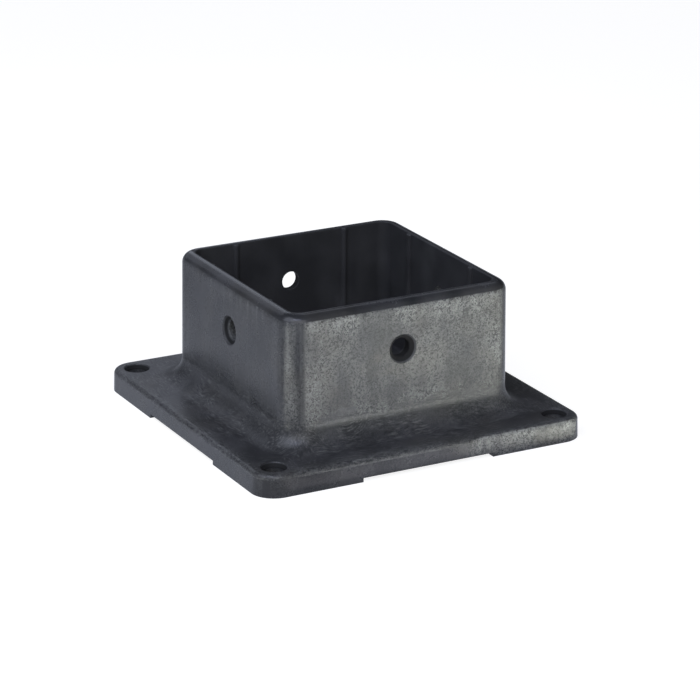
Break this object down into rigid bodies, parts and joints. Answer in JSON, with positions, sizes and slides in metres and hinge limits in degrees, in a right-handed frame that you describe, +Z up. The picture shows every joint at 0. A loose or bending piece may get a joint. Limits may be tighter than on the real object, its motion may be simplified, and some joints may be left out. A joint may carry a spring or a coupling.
{
  "type": "timber post base",
  "caption": "Moulded plastic base: a square socket for a timber post on a square plate with corner anchor holes and screw holes in the socket walls.",
  "frame": {"origin": "on the ground, in the middle of the square plate", "axes": "+Z up along the socket, X and Y square to the socket's walls"},
  "size_m": [0.15, 0.15, 0.065],
  "materials": {
    "dark_moulded_plastic": "satin dark grey moulded plastic, faintly mottled"
  },
  "bodies": {
    "root": {"post_base": "dark_moulded_plastic"}
  },
  "joints": []
}
